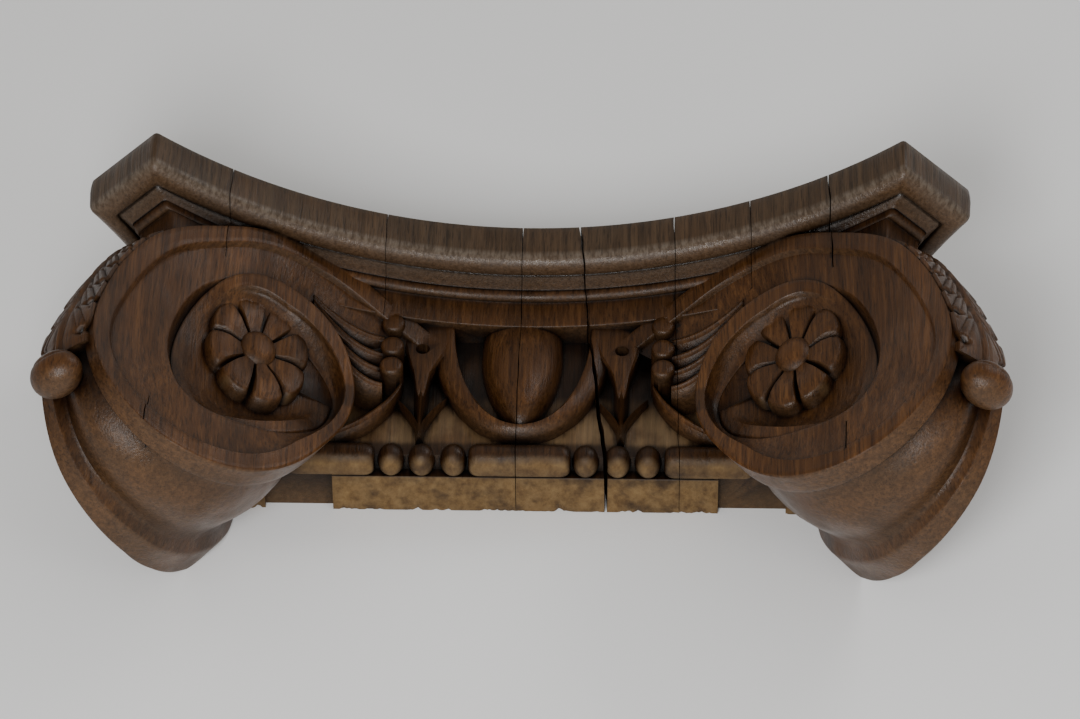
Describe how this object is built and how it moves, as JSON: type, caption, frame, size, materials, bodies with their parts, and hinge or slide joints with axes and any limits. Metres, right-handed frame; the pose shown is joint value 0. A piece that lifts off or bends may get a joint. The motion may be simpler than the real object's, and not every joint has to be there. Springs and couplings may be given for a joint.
{
  "type": "pilaster capital",
  "caption": "Carved oak capital of the angled Ionic kind: hollow-sided slab, corner scrolls with rosette eyes, egg-and-dart and beads, flat back.",
  "frame": {"origin": "middle of the bounding box's underside, on the surface that the flat back lies on", "axes": "+Z out of the carved front, +Y out of the slab's top, +X to the right as one faces the front; turned by +90 degrees about X it is upright as built in"},
  "size_m": [0.6736, 0.2958, 0.2132],
  "materials": {
    "oak": "satin"
  },
  "bodies": {
    "root": {"ionic_capital": "oak"}
  },
  "joints": []
}
